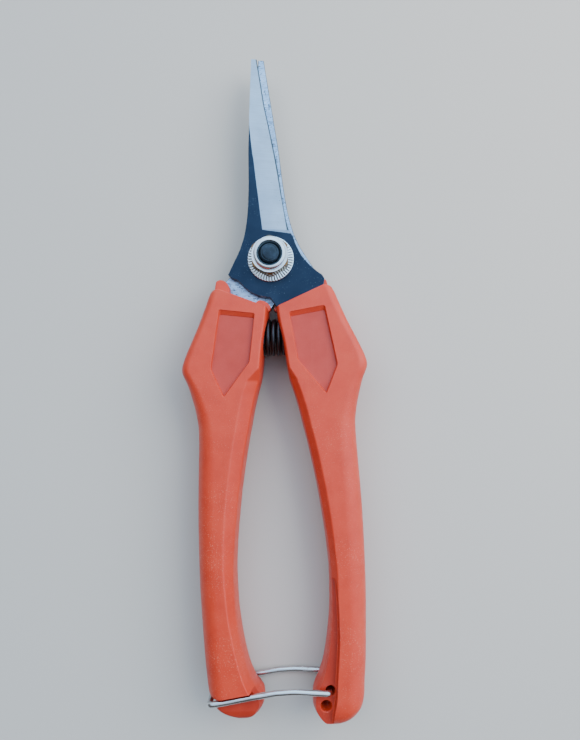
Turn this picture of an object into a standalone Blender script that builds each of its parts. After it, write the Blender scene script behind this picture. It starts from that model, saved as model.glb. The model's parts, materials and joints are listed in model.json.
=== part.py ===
"""Floral snips: two crossed straight blades on one pivot, moulded handles on
their tangs, a compression spring between the handle heads and a wire latch.

Design frame, in millimetres: the pivot axis is Z through the origin, +Y runs
to the blade tips, z = 0 is the plane where the two blades slide on each other.
The whole tool is then raised so that it lies on the plane Z = 0, with the
origin under the middle of its outline.
"""
import math

import bmesh
import bpy
from mathutils import Matrix, Vector

MM = 0.001

# ---- driving dimensions, mm ------------------------------------------------
TIP_Y = 61.5              # blade tips, from the pivot
END_Y = -126.4            # far end of the right handle, from the pivot
HALF_THICK = 7.4          # half thickness of the handles
BLADE_GAP = 0.1           # each blade's clearance to the mating plane
BLADE_T = 2.2             # blade thickness
EDGE_LAND = 0.35          # thickness left along the cutting edge
LOWER_TURN = 3.5          # closed blades cross by this angle, degrees
BOLT_R = 2.85             # pivot bolt shank, nominal M6
BORE_R = 3.05             # running bore in the upper blade
NECK = 6.0                # square neck that keys the bolt in the lower blade
WASHER_R = 6.6
NUT_FLATS = 10.0
NUT_Z = (3.5, 8.9)
SPRING_R = 4.7            # mean coil radius
SPRING_WIRE_R = 0.6
SPRING_Y = -22.3
SPRING_TURNS = 8
SPRING_HALF = 5.45        # half length of the coil's centre line at rest
SOCKET_R = 5.55
SOCKET_END = 6.35         # distance of each socket's bottom from the middle
LATCH_X, LATCH_Y = 11.4, -117.5
LATCH_WIRE_R = 0.75
LATCH_Z = 6.4             # height of the latch arms above the mating plane
LATCH_HOLE = (11.7, -117.4, 1.3)   # wider than the wire that hooks into it
CORD_HOLE = (10.4, -121.3, 1.45)
RECESS_Z = 5.0            # floor of the latch recess
LOBE_Z = 5.2              # top of the left handle's hooked end
PANEL_DEPTH = 1.0
WALL_DRAFT = 0.45         # inner walls stand proud by this at mid thickness
FIT = 0.3                 # gap between fixed pieces that touch

SHIFT = Vector((0.0, -(TIP_Y + END_Y) / 2.0, HALF_THICK))

# ---- clear the scene -------------------------------------------------------
for old in list(bpy.data.objects):
    bpy.data.objects.remove(old, do_unlink=True)

parts_coll = bpy.data.collections.new("floral_snips")
cut_coll = bpy.data.collections.new("cutters")
bpy.context.scene.collection.children.link(parts_coll)
bpy.context.scene.collection.children.link(cut_coll)


def material(name, color, rough, metal):
    mat = bpy.data.materials.new(name)
    mat.use_nodes = True
    bsdf = mat.node_tree.nodes["Principled BSDF"]
    bsdf.inputs["Base Color"].default_value = (*color, 1.0)
    bsdf.inputs["Roughness"].default_value = rough
    bsdf.inputs["Metallic"].default_value = metal
    mat.diffuse_color = (*color, 1.0)
    return mat


def empty(name, loc, parent=None):
    ob = bpy.data.objects.new(name, None)
    ob.empty_display_size = 0.01
    ob.location = Vector(loc) * MM
    ob.parent = parent
    parts_coll.objects.link(ob)
    return ob


# Joint empties: both halves turn about the pivot, the latch about its own hole.
pivot = empty("pivot_axis", SHIFT)
right_half = empty("right_half_axis", (0, 0, 0), pivot)
latch_axis = empty("latch_axis", (LATCH_X, LATCH_Y, 0), right_half)


def add(name, mesh, parent, coll=None, mat=None, flip=False):
    """Object with its origin on its parent's axis; flip turns it over about Y."""
    ob = bpy.data.objects.new(name, mesh)
    (coll or parts_coll).objects.link(ob)
    ob.parent = parent
    if flip:
        ob.rotation_euler = (0.0, math.pi, 0.0)
    if mat:
        mesh.materials.clear()
        mesh.materials.append(mat)
    if coll is cut_coll:
        ob.hide_render = True
        ob.display_type = 'WIRE'
    return ob


def cut(ob, cutter, operation='DIFFERENCE'):
    mod = ob.modifiers.new(cutter.name, 'BOOLEAN')
    mod.operation = operation
    mod.object = cutter
    mod.solver = 'EXACT'
    return mod


def finish_mesh(name, bm):
    bmesh.ops.recalc_face_normals(bm, faces=bm.faces)
    me = bpy.data.meshes.new(name)
    bm.to_mesh(me)
    bm.free()
    return me


def curve_to_mesh(name, curve, weld=2e-6):
    """Evaluated mesh of a curve, with its loose caps welded."""
    ob = bpy.data.objects.new(name + "_curve", curve)
    parts_coll.objects.link(ob)
    bpy.context.view_layer.update()
    deps = bpy.context.evaluated_depsgraph_get()
    me = bpy.data.meshes.new_from_object(ob.evaluated_get(deps))
    me.transform(ob.matrix_world)
    bpy.data.objects.remove(ob, do_unlink=True)
    bm = bmesh.new()
    bm.from_mesh(me)
    bmesh.ops.remove_doubles(bm, verts=bm.verts, dist=weld)
    bpy.data.meshes.remove(me)
    return finish_mesh(name, bm)


def plate(name, outline, z0, z1, holes=()):
    """Flat outline, extruded from z0 to z1, with optional hole outlines."""
    cu = bpy.data.curves.new(name, 'CURVE')
    cu.dimensions = '2D'
    cu.fill_mode = 'BOTH'
    cu.extrude = (z1 - z0) / 2.0 * MM
    for pts in (outline,) + tuple(holes):
        sp = cu.splines.new('POLY')
        sp.points.add(len(pts) - 1)
        for p, (x, y) in zip(sp.points, pts):
            p.co = (x * MM, y * MM, 0.0, 1.0)
        sp.use_cyclic_u = True
    me = curve_to_mesh(name, cu)
    me.transform(Matrix.Translation((0, 0, (z0 + z1) / 2.0 * MM)))
    return me


def loft(name, rings):
    """Closed solid through rings of equal point count, capped at both ends."""
    bm = bmesh.new()
    rows = [[bm.verts.new(Vector(p) * MM) for p in ring] for ring in rings]
    n = len(rows[0])
    for a, b in zip(rows, rows[1:]):
        for i in range(n):
            j = (i + 1) % n
            bm.faces.new((a[i], a[j], b[j], b[i]))
    bm.faces.new(list(reversed(rows[0])))
    bm.faces.new(rows[-1])
    bmesh.ops.triangulate(bm, faces=bm.faces)
    return finish_mesh(name, bm)


def turned(name, profile, steps, parent, coll=None, mat=None):
    """Solid of revolution about Z: profile (r, z) from top to bottom."""
    me = bpy.data.meshes.new(name)
    verts = [(r * MM, 0.0, z * MM) for r, z in profile]
    closed = profile[0][0] > 0.0
    edges = [(i, i + 1) for i in range(len(verts) - 1)]
    if closed:
        edges.append((len(verts) - 1, 0))
    me.from_pydata(verts, edges, [])
    ob = add(name, me, parent, coll, mat)
    scr = ob.modifiers.new("turn", 'SCREW')
    scr.axis = 'Z'
    scr.angle = 2.0 * math.pi
    scr.steps = steps
    scr.render_steps = steps
    scr.use_merge_vertices = True
    scr.merge_threshold = 1e-6
    scr.use_smooth_shade = False
    return ob


def cylinder(name, radius, p0, p1, sides, parent, flip=False):
    """Cutter cylinder between two points, mm."""
    a, b = Vector(p0), Vector(p1)
    axis = b - a
    rot = axis.to_track_quat('Z', 'Y').to_matrix().to_4x4()
    bm = bmesh.new()
    bmesh.ops.create_cone(bm, cap_ends=True, segments=sides,
                          radius1=radius * MM, radius2=radius * MM,
                          depth=axis.length * MM,
                          matrix=Matrix.Translation((a + b) / 2.0 * MM) @ rot)
    return add(name, finish_mesh(name, bm), parent, cut_coll, flip=flip)


def turn2(points, degrees):
    c, s = math.cos(math.radians(degrees)), math.sin(math.radians(degrees))
    return [(x * c - y * s, x * s + y * c) for x, y in points]


def arc2(radius, a0, a1, n):
    return [(radius * math.cos(math.radians(a0 + (a1 - a0) * i / n)),
             radius * math.sin(math.radians(a0 + (a1 - a0) * i / n)))
            for i in range(n + 1)]


def grow(points, d):
    """Outline moved outwards by d at every corner (mitred)."""
    area = sum(a[0] * b[1] - b[0] * a[1]
               for a, b in zip(points, points[1:] + points[:1]))
    sign = 1.0 if area > 0 else -1.0
    out = []
    n = len(points)
    for i in range(n):
        p0, p1, p2 = (Vector(points[i - 1]), Vector(points[i]),
                      Vector(points[(i + 1) % n]))
        e0, e1 = (p1 - p0).normalized(), (p2 - p1).normalized()
        n0 = Vector((e0.y, -e0.x)) * sign
        n1 = Vector((e1.y, -e1.x)) * sign
        m = (n0 + n1).normalized()
        k = d / max(0.5, m.dot(n0))
        out.append(tuple(p1 + m * k))
    return out


# ---- blades ----------------------------------------------------------------
BLADE_Z0 = BLADE_GAP
BLADE_Z1 = BLADE_GAP + BLADE_T
SPINE = [(-3.7, 61.3), (-4.1, 54.5), (-4.4, 49.3), (-4.9, 40.7), (-5.4, 32.0),
         (-5.6, 23.6), (-6.1, 15.2), (-7.0, 9.0), (-8.6, 3.7), (-10.3, 0.2)]
EDGE = [(-2.1, 61.5), (-1.2, 54.5), (-0.4, 47.5), (1.4, 37.0), (3.0, 26.5),
        (4.4, 14.2), (5.2, 10.0)]
SHOULDER = [(6.3, 7.3), (7.6, 3.4), (8.7, 1.1), (10.0, -0.8), (12.5, -3.5),
            (14.5, -5.1), (15.1, -6.2), (14.8, -8.1)]
TANG = [(15.4, -12.0), (16.2, -18.0), (16.5, -24.0), (16.0, -30.0),
        (14.9, -38.0), (14.3, -46.0), (13.4, -50.0), (11.9, -50.0),
        (10.8, -46.0), (9.7, -38.0), (8.5, -30.0), (7.7, -24.0), (7.6, -16.4),
        (2.3, -15.3)]
THROAT = [(1.5, -14.1), (0.6, -12.9), (-0.2, -11.6)]
HEEL = [(-8.5, -7.0), (-9.8, -5.6), (-11.5, -5.0), (-12.4, -3.9)]


def blade_outline(turn):
    """Blade and tang; only what stands in front of the handle is turned."""
    front = EDGE + SHOULDER
    back = THROAT + arc2(11.05, 266.0, 222.0, 7) + HEEL + SPINE[::-1]
    return turn2(front, -turn) + TANG + turn2(back, -turn)


def lerp_x(table, y):
    rows = sorted(table, key=lambda p: p[1])
    for (x0, y0), (x1, y1) in zip(rows, rows[1:]):
        if y0 <= y <= y1:
            return x0 + (x1 - x0) * (y - y0) / (y1 - y0)
    return rows[0][0] if y < rows[0][1] else rows[-1][0]


def grind(name, turn, parent, flip):
    """Wedge taken off the outer face: one flat ground bevel to the edge."""
    rings = []
    ys = [8.6, 12.0, 20.0, 30.0, 40.5, 47.5, 54.5, 61.5, 64.0]
    for i, y in enumerate(ys):
        ye = min(y, 61.4)
        xe, yb = lerp_x(EDGE, ye), y
        if y <= 40.5:
            xl = -2.2 - 2.7 * (y - 10.0) / 30.5
            zl = BLADE_Z1
        else:
            xl = lerp_x(SPINE, ye)
            zl = BLADE_Z1 - 1.3 * (min(y, 61.5) - 40.5) / 21.0
        ze = BLADE_Z0 + EDGE_LAND
        slope = (zl - ze) / (xe - xl)
        xa, za = xl - 1.0, zl + slope
        xb, zb = xe + 2.5, ze - slope * 2.5
        ya = yb
        if i == 0:                      # the grind runs out along a slant
            ya, yb = 9.7, 7.2
        ring = [(xa, ya, za), (xb, yb, zb), (xb, yb, 5.5), (xa, ya, 5.5)]
        c, s = math.cos(math.radians(-turn)), math.sin(math.radians(-turn))
        rings.append([(x * c - yy * s, x * s + yy * c, z)
                      for x, yy, z in ring])
    return add(name, loft(name, rings), parent, cut_coll, flip=flip)


def blade(name, turn, parent, mat, flip, hole):
    outline = blade_outline(turn)
    me = plate(name, outline, BLADE_Z0, BLADE_Z1, holes=(hole,))
    ob = add(name, me, parent, mat=mat, flip=flip)
    cut(ob, grind(name + "_grind", turn, parent, flip))
    return ob, outline


steel = material("blade_steel", (0.05, 0.075, 0.11), 0.35, 0.85)
steel2 = material("lower_blade_steel", (0.42, 0.47, 0.53), 0.35, 0.9)
orange = material("handle_orange", (0.62, 0.105, 0.045), 0.42, 0.0)
orange2 = material("handle_orange_left", (0.62, 0.105, 0.045), 0.42, 0.0)
black = material("bolt_black", (0.02, 0.025, 0.03), 0.4, 0.6)
zinc = material("nut_zinc", (0.75, 0.76, 0.74), 0.25, 1.0)
zinc2 = material("washer_zinc", (0.78, 0.80, 0.79), 0.3, 1.0)
nylon = material("nylon_black", (0.015, 0.02, 0.03), 0.5, 0.0)
spring_steel = material("spring_steel", (0.05, 0.05, 0.055), 0.35, 0.9)
wire_steel = material("latch_steel", (0.66, 0.68, 0.70), 0.2, 1.0)

round_hole = arc2(BORE_R, 360.0 - 7.5, 0.0, 47)
h = (NECK + 0.4) / 2.0
square_hole = turn2([(h, h), (h, -h), (-h, -h), (-h, h)], 20.0)
upper_blade, upper_outline = blade("upper_blade", 0.0, right_half, steel,
                                   False, round_hole)
lower_blade, lower_outline = blade("lower_blade", LOWER_TURN, pivot, steel2,
                                   True, square_hole)

# ---- handles ---------------------------------------------------------------
# Ribs across the right handle: inner point, outer point, outer rounding,
# inner bevel run, inner wall half height, half thickness.
HEAD_RIBS = [
    ((1.15, -14.70), (15.2, -8.75), 1.2, 0.5, 6.9, 7.4),
    ((1.15, -15.00), (16.6, -9.40), 1.8, 0.5, 6.9, 7.4),
    ((1.18, -15.50), (17.6, -11.00), 2.2, 0.5, 6.9, 7.4),
    ((1.25, -16.40), (18.5, -13.30), 2.4, 0.5, 6.9, 7.4),
    ((1.40, -17.80), (19.65, -16.20), 2.4, 0.5, 6.9, 7.4),
    ((1.80, -20.10), (21.1, -19.70), 2.4, 0.5, 6.9, 7.4),
]
GRIP_ROWS = [  # y, inner x, outer x, rounding, bevel run, wall, half thickness
    (-24.7, 2.65, 23.4, 2.4, 0.5, 6.9, 7.4),
    (-29.3, 3.25, 25.3, 2.5, 0.5, 6.9, 7.4),
    (-31.0, 3.45, 25.7, 2.6, 0.5, 6.9, 7.4),
    (-32.0, 3.60, 25.65, 2.7, 0.8, 6.7, 7.4),
    (-33.2, 3.75, 25.2, 2.8, 1.9, 5.8, 7.4),
    (-34.8, 4.05, 24.5, 3.0, 2.8, 4.9, 7.4),
    (-38.5, 5.15, 23.4, 3.6, 3.3, 4.6, 7.4),
    (-43.0, 6.30, 22.4, 4.2, 3.25, 4.6, 7.4),
    (-47.5, 7.25, 21.85, 4.6, 3.2, 4.6, 7.4),
    (-52.5, 8.35, 21.95, 5.0, 3.15, 4.6, 7.4),
    (-58.7, 9.50, 22.2, 5.0, 3.05, 4.6, 7.4),
    (-65.0, 10.55, 22.45, 5.0, 2.95, 4.6, 7.4),
    (-72.0, 11.50, 22.65, 5.0, 2.8, 4.6, 7.4),
    (-80.0, 12.35, 22.7, 5.0, 2.5, 4.6, 7.4),
    (-88.0, 12.80, 22.65, 5.0, 2.1, 4.5, 7.4),
    (-96.0, 12.60, 22.4, 5.0, 1.7, 4.4, 7.4),
    (-102.0, 12.00, 22.1, 5.0, 1.4, 4.2, 7.4),
    (-108.0, 11.00, 21.8, 5.0, 1.2, 4.0, 7.4),
    (-113.0, 9.75, 21.4, 5.0, 1.1, 3.8, 7.4),
    (-116.6, 8.25, 21.0, 4.8, 1.1, 3.7, 7.4),
]
LATCH_END = [
    (-118.2, 7.45, 20.9, 4.7, 1.1, 3.7, 7.4),
    (-119.6, 7.00, 20.7, 4.6, 1.1, 3.7, 7.4),
    (-121.6, 6.85, 20.1, 4.2, 1.1, 3.7, 7.3),
    (-123.4, 7.35, 18.9, 3.8, 1.1, 3.6, 6.9),
    (-124.7, 8.10, 17.4, 3.2, 1.0, 3.4, 6.2),
    (-125.6, 8.85, 15.5, 2.4, 0.9, 3.1, 5.3),
    (-126.1, 9.55, 13.4, 1.5, 0.7, 2.8, 4.4),
    (-126.4, 10.2, 11.7, 0.6, 0.4, 2.5, 3.6),
]
HOOK_END = [
    (-117.8, 7.60, 20.6, 4.4, 1.1, 3.7, 7.4),
    (-118.35, 7.05, 19.8, 4.0, 1.1, 3.7, 7.4),
    (-118.7, 6.60, 19.2, 3.4, 1.0, 3.7, 6.4),
    (-119.5, 6.15, 19.05, 2.2, 0.9, 3.9, 5.5),
    (-120.5, 6.05, 19.15, 1.9, 0.9, 3.9, 5.4),
    (-121.2, 6.20, 19.05, 1.8, 0.9, 3.9, 5.3),
    (-121.8, 6.50, 18.6, 1.7, 0.9, 3.8, 5.2),
    (-122.4, 6.90, 17.85, 1.6, 0.9, 3.7, 5.1),
    (-123.0, 7.40, 16.8, 1.5, 0.8, 3.6, 4.95),
    (-123.6, 8.20, 15.3, 1.4, 0.7, 3.4, 4.7),
    (-124.1, 9.40, 13.6, 0.9, 0.6, 3.1, 4.3),
    (-124.3, 10.3, 12.6, 0.5, 0.4, 2.8, 4.0),
]
PANEL = [(5.0, -16.7), (14.5, -15.2), (17.3, -31.3), (14.0, -39.0),
         (6.8, -29.7)]
FRONT_LOBE = [(16.0, -6.3), (15.3, -5.7), (14.4, -5.5), (13.2, -6.0),
              (12.4, -6.9), (11.9, -8.1), (12.0, -9.6), (12.9, -12.0),
              (16.6, -12.0)]
STOP_TAB = [(4.6, -13.2), (4.0, -12.3), (3.1, -11.9), (1.8, -12.0),
            (0.5, -12.5), (-0.2, -13.3), (-0.95, -14.4), (2.4, -15.6),
            (5.2, -15.6)]
LEFT_TAB = [(4.9, -13.2), (4.6, -12.2), (4.0, -11.8), (3.1, -11.75),
            (1.8, -12.3), (0.95, -13.1), (0.3, -14.2), (1.6, -15.4),
            (5.2, -15.6)]
RECESS = [(14.3, -88.2), (14.6, -90.9), (14.6, -102.4), (13.6, -113.9),
          (13.2, -118.6), (12.1, -123.1), (12.0, -130.0), (2.0, -130.0),
          (2.0, -110.0), (9.0, -98.0), (9.0, -88.6), (12.6, -88.4)]
SHOULDER_CUT = [(3.0, -115.9), (9.36, -116.86), (19.96, -118.46),
                (24.0, -119.07), (24.0, -130.0), (3.0, -130.0)]


def rib_ring(inner, outer, rnd, bevel, wall, half, arc=5):
    """One closed section: flat top, bevelled inside, rounded outside."""
    a, b = Vector(inner), Vector(outer)
    length = (b - a).length
    u = (b - a) / length
    top = [(WALL_DRAFT, wall), (WALL_DRAFT + bevel, half)]
    for i in range(arc + 1):
        t = math.radians(90.0 * i / arc)
        top.append((length - rnd + rnd * math.sin(t),
                    half - rnd + rnd * math.cos(t)))
    pts = top + [(s, -z) for s, z in reversed(top)] + [(0.0, 0.0)]
    return [(a.x + u.x * s, a.y + u.y * s, z) for s, z in pts]


def handle(name, end_rows, parent, mat, flip, tang_outline, tab):
    rings = [rib_ring(*rib) for rib in HEAD_RIBS]
    for y, xi, xo, rnd, bevel, wall, half in GRIP_ROWS + end_rows:
        rings.append(rib_ring((xi, y), (xo, y), rnd, bevel, wall, half))
    ob = add(name, loft(name, rings), parent, mat=mat, flip=flip)

    def cutter(tag, mesh):
        return add(name + tag, mesh, parent, cut_coll, flip=flip)

    # closing stop and tang cheek in front of the head, under the other blade
    cut(ob, cutter("_tab", plate("tab", tab, -2.6, -0.25)), 'UNION')
    cut(ob, cutter("_lobe", plate("lobe", FRONT_LOBE, -3.4, -0.25)), 'UNION')
    # slot for the blade's tang
    slot = [p for p in grow(tang_outline, FIT) if p[1] < -4.0]
    cut(ob, cutter("_slot", plate("slot", slot, BLADE_Z0 - FIT,
                                  BLADE_Z1 + FIT)))
    # socket that holds the spring's end
    cut(ob, cylinder(name + "_socket", SOCKET_R, (-2.0, SPRING_Y, 0.0),
                     (SOCKET_END, SPRING_Y, 0.0), 32, parent, flip))
    # shallow panels on both faces
    z = HALF_THICK - PANEL_DEPTH
    cut(ob, cutter("_panel_a", plate("panel", PANEL, z, z + 3.0)))
    cut(ob, cutter("_panel_b", plate("panel", PANEL, -z - 3.0, -z)))
    return ob, cutter


right_handle, r_cutter = handle("right_handle", LATCH_END, right_half, orange,
                                False, upper_outline,
                                turn2(STOP_TAB, LOWER_TURN))
cut(right_handle, r_cutter("_recess_a", plate("recess", RECESS,
                                              RECESS_Z, 10.0)))
cut(right_handle, r_cutter("_recess_b", plate("recess", RECESS,
                                              -10.0, -RECESS_Z)))
cut(right_handle, cylinder("right_handle_latch_hole", LATCH_HOLE[2],
                           (LATCH_HOLE[0], LATCH_HOLE[1], -9.0),
                           (LATCH_HOLE[0], LATCH_HOLE[1], 9.0), 18, right_half))
cut(right_handle, cylinder("right_handle_cord_hole", CORD_HOLE[2],
                           (CORD_HOLE[0], CORD_HOLE[1], -9.0),
                           (CORD_HOLE[0], CORD_HOLE[1], 9.0), 20, right_half))

left_handle, l_cutter = handle("left_handle", HOOK_END, pivot, orange2, True,
                               lower_outline, LEFT_TAB)
cut(left_handle, l_cutter("_step_a", plate("step", SHOULDER_CUT,
                                           LOBE_Z, 10.0)))
cut(left_handle, l_cutter("_step_b", plate("step", SHOULDER_CUT,
                                           -10.0, -LOBE_Z)))

# ---- pivot stack -----------------------------------------------------------
pivot_bolt = turned("pivot_bolt", [
    (0.0, 9.2), (2.2, 9.2), (2.6, 8.9), (BOLT_R, 8.5), (BOLT_R, -2.6),
    (5.9, -2.6), (6.1, -3.0), (5.8, -4.0), (4.6, -4.9), (2.6, -5.5),
    (0.0, -5.7)],
    32, pivot, mat=black)
bm = bmesh.new()
bmesh.ops.create_cube(bm, size=1.0, matrix=Matrix.Diagonal(
    (NECK * MM, NECK * MM, 2.5 * MM, 1.0)))
bmesh.ops.translate(bm, verts=bm.verts, vec=(0, 0, -1.65 * MM))
bmesh.ops.rotate(bm, verts=bm.verts,
                 matrix=Matrix.Rotation(math.radians(-20.0), 3, 'Z'))
neck = add("bolt_neck", finish_mesh("bolt_neck", bm), pivot, cut_coll)
cut(pivot_bolt, neck, 'UNION')

ribbed_washer = turned("ribbed_washer", [
    (4.9, 3.25), (5.3, 3.2), (6.2, 3.05), (WASHER_R, 2.9), (WASHER_R, 2.6),
    (3.2, 2.6), (3.2, 3.25)], 48, pivot, mat=zinc2)

bm = bmesh.new()
bmesh.ops.create_cone(bm, cap_ends=True, segments=6,
                      radius1=NUT_FLATS / math.sqrt(3.0) * MM,
                      radius2=NUT_FLATS / math.sqrt(3.0) * MM,
                      depth=4.0 * MM,
                      matrix=Matrix.Translation((0, 0, (NUT_Z[0] + 2.0) * MM)))
lock_nut = add("lock_nut", finish_mesh("lock_nut", bm), pivot, mat=zinc)
z0, z1 = NUT_Z
chamfer = turned("nut_chamfer", [
    (0.0, z0 + 4.6), (4.3, z0 + 4.6), (5.62, z0 + 3.5), (5.62, z0 + 0.5),
    (4.9, z0 - 0.1), (0.0, z0 - 0.1)], 48, pivot, cut_coll)
collar = turned("nut_collar", [
    (0.0, z1), (3.95, z1), (4.35, z1 - 0.35), (4.48, z1 - 1.2),
    (4.5, z0 + 3.7), (4.0, z0 + 3.2), (0.0, z0 + 3.2)], 36, pivot, cut_coll)
bore = turned("nut_bore", [
    (0.0, z1 + 1.0), (3.5, z1 + 1.0), (3.5, z1 - 0.25), (4.0, z1 - 0.3),
    (4.0, z1 - 1.75), (BORE_R, z1 - 1.8), (BORE_R, z0 - 1.0),
    (0.0, z0 - 1.0)], 36, pivot, cut_coll)
cut(lock_nut, chamfer, 'INTERSECT')
cut(lock_nut, collar, 'UNION')
cut(lock_nut, bore)

nylon_insert = turned("nylon_insert", [
    (3.75, z1 - 0.6), (3.75, z1 - 1.5), (BORE_R, z1 - 1.5),
    (BORE_R, z1 - 0.6)], 36, pivot, mat=nylon)

# ---- return spring ---------------------------------------------------------


def poly_tube(name, points, radius, sides_resolution, cyclic=False):
    cu = bpy.data.curves.new(name, 'CURVE')
    cu.dimensions = '3D'
    cu.bevel_depth = radius * MM
    cu.bevel_resolution = sides_resolution
    cu.use_fill_caps = True
    cu.render_resolution_u = 0
    sp = cu.splines.new('POLY')
    sp.points.add(len(points) - 1)
    for p, co in zip(sp.points, points):
        p.co = (*(Vector(co) * MM), 1.0)
    sp.use_cyclic_u = cyclic
    return curve_to_mesh(name, cu)


def coil():
    """Compression coil along X; the end turns lie closer than the middle."""
    pts = []
    per_turn = 12
    n = SPRING_TURNS * per_turn
    for i in range(n + 1):
        t = i / n
        # slower advance over the first and the last turn
        w = t - 0.018 * math.sin(2.0 * math.pi * t)
        a = 2.0 * math.pi * SPRING_TURNS * t
        pts.append((-SPRING_HALF + 2.0 * SPRING_HALF * w,
                    SPRING_Y + SPRING_R * math.sin(a),
                    SPRING_R * math.cos(a)))
    return pts


return_spring = add("return_spring",
                    poly_tube("return_spring", coil(), SPRING_WIRE_R, 2),
                    pivot, mat=spring_steel)

# ---- latch wire ------------------------------------------------------------


def filleted(points, radius, n=3):
    """Corner points replaced by short arcs of n chords."""
    pts = [Vector(p) for p in points]
    out = [pts[0]]
    for p0, p1, p2 in zip(pts, pts[1:], pts[2:]):
        d0, d1 = (p0 - p1).normalized(), (p2 - p1).normalized()
        half = d0.angle(d1) / 2.0
        if math.degrees(half) > 80.0:
            out.append(p1)
            continue
        back = min(radius / math.tan(half), (p0 - p1).length * 0.45,
                   (p2 - p1).length * 0.45)
        a, b = p1 + d0 * back, p1 + d1 * back
        for i in range(n + 1):
            t = i / n
            out.append(a * (1 - t) ** 2 + p1 * 2 * t * (1 - t) + b * t * t)
    out.append(pts[-1])
    return out


ARM = [(LATCH_X, LATCH_Y), (2.1, -116.8), (-2.7, -117.0), (-9.2, -117.9),
       (-16.4, -119.05), (-20.3, -119.55)]
arm = [(x - LATCH_X, y - LATCH_Y) for x, y in ARM]
path = ([(0.0, 0.0, 3.4)] + [(x, y, LATCH_Z) for x, y in arm]
        + [(x, y, -LATCH_Z) for x, y in reversed(arm)] + [(0.0, 0.0, -3.4)])
latch_wire = add("latch_wire",
                 poly_tube("latch_wire", filleted(path, 1.1), LATCH_WIRE_R, 2),
                 latch_axis, mat=wire_steel)

# ---- shading ---------------------------------------------------------------
for ob in parts_coll.objects:
    if ob.type == 'MESH' and ob.data.polygons:
        ob.data.shade_smooth()
        ob.data.set_sharp_from_angle(angle=math.radians(35.0))
bpy.context.view_layer.update()
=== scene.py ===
import json
import math

import bmesh
import bpy
import numpy as np
from mathutils import Matrix, Vector


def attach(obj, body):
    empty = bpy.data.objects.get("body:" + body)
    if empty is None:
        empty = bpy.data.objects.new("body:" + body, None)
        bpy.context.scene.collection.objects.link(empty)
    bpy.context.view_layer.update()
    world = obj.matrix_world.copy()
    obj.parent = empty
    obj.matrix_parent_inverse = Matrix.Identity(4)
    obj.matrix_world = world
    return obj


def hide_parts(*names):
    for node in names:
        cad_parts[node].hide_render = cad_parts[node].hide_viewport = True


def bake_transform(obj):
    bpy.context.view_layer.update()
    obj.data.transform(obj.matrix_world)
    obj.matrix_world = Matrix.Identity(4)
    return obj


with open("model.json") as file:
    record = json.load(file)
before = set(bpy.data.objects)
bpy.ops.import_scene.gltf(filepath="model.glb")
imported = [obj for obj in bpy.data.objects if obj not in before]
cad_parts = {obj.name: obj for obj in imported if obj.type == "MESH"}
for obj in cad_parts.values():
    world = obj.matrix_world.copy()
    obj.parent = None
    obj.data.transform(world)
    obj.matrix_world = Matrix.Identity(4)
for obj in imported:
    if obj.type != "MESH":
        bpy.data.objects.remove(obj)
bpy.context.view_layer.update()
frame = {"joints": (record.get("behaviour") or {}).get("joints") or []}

MM = 0.001
pivot_joint = next(j for j in frame["joints"] if j["name"] == "handle_pivot")
PIVOT = Vector(pivot_joint["pos_m"])

# Shapes are made in millimetres about the pivot, as the CAD's design frame is:
# +Y to the tips, z = 0 between the blades, and moved to PIVOT at the end.

coll = bpy.data.collections.new("visual")
bpy.context.scene.collection.children.link(coll)


# ---- camera -----------------------------------------------------------------
cam_data = bpy.data.cameras.new("cam")
cam = bpy.data.objects.new("cam", cam_data)
bpy.context.scene.collection.objects.link(cam)
cam_data.sensor_width = 36.0
cam_data.sensor_fit = 'AUTO'
cam_data.lens = 530.0 / 740.0 * 36.0
cam_data.clip_start = 0.005
cam_data.clip_end = 10.0
right = Vector((0.99888295, -0.0391948, -0.02633105))
down = Vector((-0.04107729, -0.99631801, -0.07523158))
fwd = Vector((-0.02328541, 0.07622915, -0.99681838))
m = Matrix((right, -down, -fwd)).transposed().to_4x4()
m.translation = PIVOT + Vector((7.734, -43.353, 151.0)) * MM
cam.matrix_world = m
bpy.context.scene.camera = cam


# ---- geometry helpers -------------------------------------------------------
def mesh_of(bm, name="m"):
    bmesh.ops.recalc_face_normals(bm, faces=bm.faces)
    me = bpy.data.meshes.new(name)
    bm.to_mesh(me)
    bm.free()
    return me


def loft(rings):
    """Closed solid through rings of equal point count, capped at both ends."""
    bm = bmesh.new()
    rows = [[bm.verts.new(Vector(p)) for p in ring] for ring in rings]
    n = len(rows[0])
    for a, b in zip(rows, rows[1:]):
        for i in range(n):
            j = (i + 1) % n
            bm.faces.new((a[i], a[j], b[j], b[i]))
    bm.faces.new(list(reversed(rows[0])))
    bm.faces.new(rows[-1])
    return mesh_of(bm)


def turned(profile, steps=96):
    """Solid of revolution about Z; profile (r, z), closed or ending on Z."""
    bm = bmesh.new()
    rows = []
    for r, z in profile:
        if r < 1e-9:
            rows.append([bm.verts.new((0, 0, z))])
        else:
            rows.append([bm.verts.new((r * math.cos(2 * math.pi * i / steps),
                                       r * math.sin(2 * math.pi * i / steps),
                                       z)) for i in range(steps)])
    pairs = list(zip(rows, rows[1:]))
    if profile[0][0] > 1e-9 and profile[-1][0] > 1e-9:
        pairs.append((rows[-1], rows[0]))
    for a, b in pairs:
        for i in range(steps):
            j = (i + 1) % steps
            if len(a) == 1 and len(b) == 1:
                continue
            if len(a) == 1:
                bm.faces.new((a[0], b[i], b[j]))
            elif len(b) == 1:
                bm.faces.new((a[i], b[0], a[j]))
            else:
                bm.faces.new((a[i], b[i], b[j], a[j]))
    return mesh_of(bm)


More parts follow.
